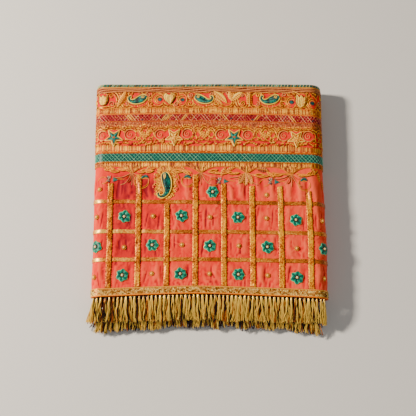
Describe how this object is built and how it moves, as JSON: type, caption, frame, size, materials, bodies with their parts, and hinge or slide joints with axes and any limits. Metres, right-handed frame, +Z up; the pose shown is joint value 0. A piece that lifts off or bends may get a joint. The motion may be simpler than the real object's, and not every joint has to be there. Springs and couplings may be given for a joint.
{
  "type": "folded embroidered veil",
  "caption": "Coral veil folded into a flat packet, with embroidered bands, a gold ribbon grid with green flowers, and a gold fringe along the hem.",
  "frame": {"origin": "centre of the packet's bounding box on the surface it rests on", "axes": "+Z up through the folded layers, -Y towards the fringed hem, +X to the right as the picture shows it"},
  "size_m": [0.3308, 0.3592, 0.0433],
  "materials": {
    "coral_cloth": "matt woven cloth",
    "folded_layers": "matt cloth edges",
    "gold_embroidery": "soft metallic thread",
    "brown_gold_embroidery": "dull silky thread",
    "green_lattice": "silky thread",
    "red_lattice": "silky thread",
    "gold_ribbon": "glittering metallic weave",
    "copper_ribbon": "dull metallic weave",
    "green_ribbon": "satin",
    "gold_fringe": "silky metallic thread"
  },
  "bodies": {
    "root": {"veil_face": "coral_cloth", "inner_layers": "folded_layers", "top_edge_band": "brown_gold_embroidery", "scroll_band": "brown_gold_embroidery", "red_lattice_band": "red_lattice", "star_band": "brown_gold_embroidery", "green_lattice_band": "green_lattice", "scallop_edging": "gold_embroidery", "hem_braid": "gold_embroidery", "fringe_top": "gold_fringe", "fringe_second": "gold_fringe", "fringe_floor": "gold_fringe", "ribbon_v_1": "gold_ribbon", "ribbon_v_2": "gold_ribbon", "ribbon_v_3": "gold_ribbon", "ribbon_v_4": "gold_ribbon", "ribbon_v_5": "gold_ribbon", "ribbon_v_6": "gold_ribbon", "ribbon_v_7": "gold_ribbon", "ribbon_v_8": "gold_ribbon", "ribbon_h_1": "copper_ribbon", "ribbon_h_2": "copper_ribbon", "ribbon_h_3": "copper_ribbon", "flower_1": "green_ribbon", "flower_2": "green_ribbon", "flower_3": "green_ribbon", "flower_4": "green_ribbon", "flower_5": "green_ribbon", "flower_6": "green_ribbon", "flower_7": "green_ribbon", "flower_8": "green_ribbon", "flower_9": "green_ribbon", "flower_10": "green_ribbon", "flower_11": "green_ribbon", "flower_12": "green_ribbon", "flower_13": "green_ribbon", "flower_14": "green_ribbon", "paisley_1": "green_ribbon", "paisley_2": "green_ribbon", "paisley_3": "green_ribbon", "paisley_4": "green_ribbon", "star_1": "green_ribbon", "star_2": "gold_embroidery", "star_3": "green_ribbon", "star_4": "gold_embroidery"}
  },
  "joints": []
}
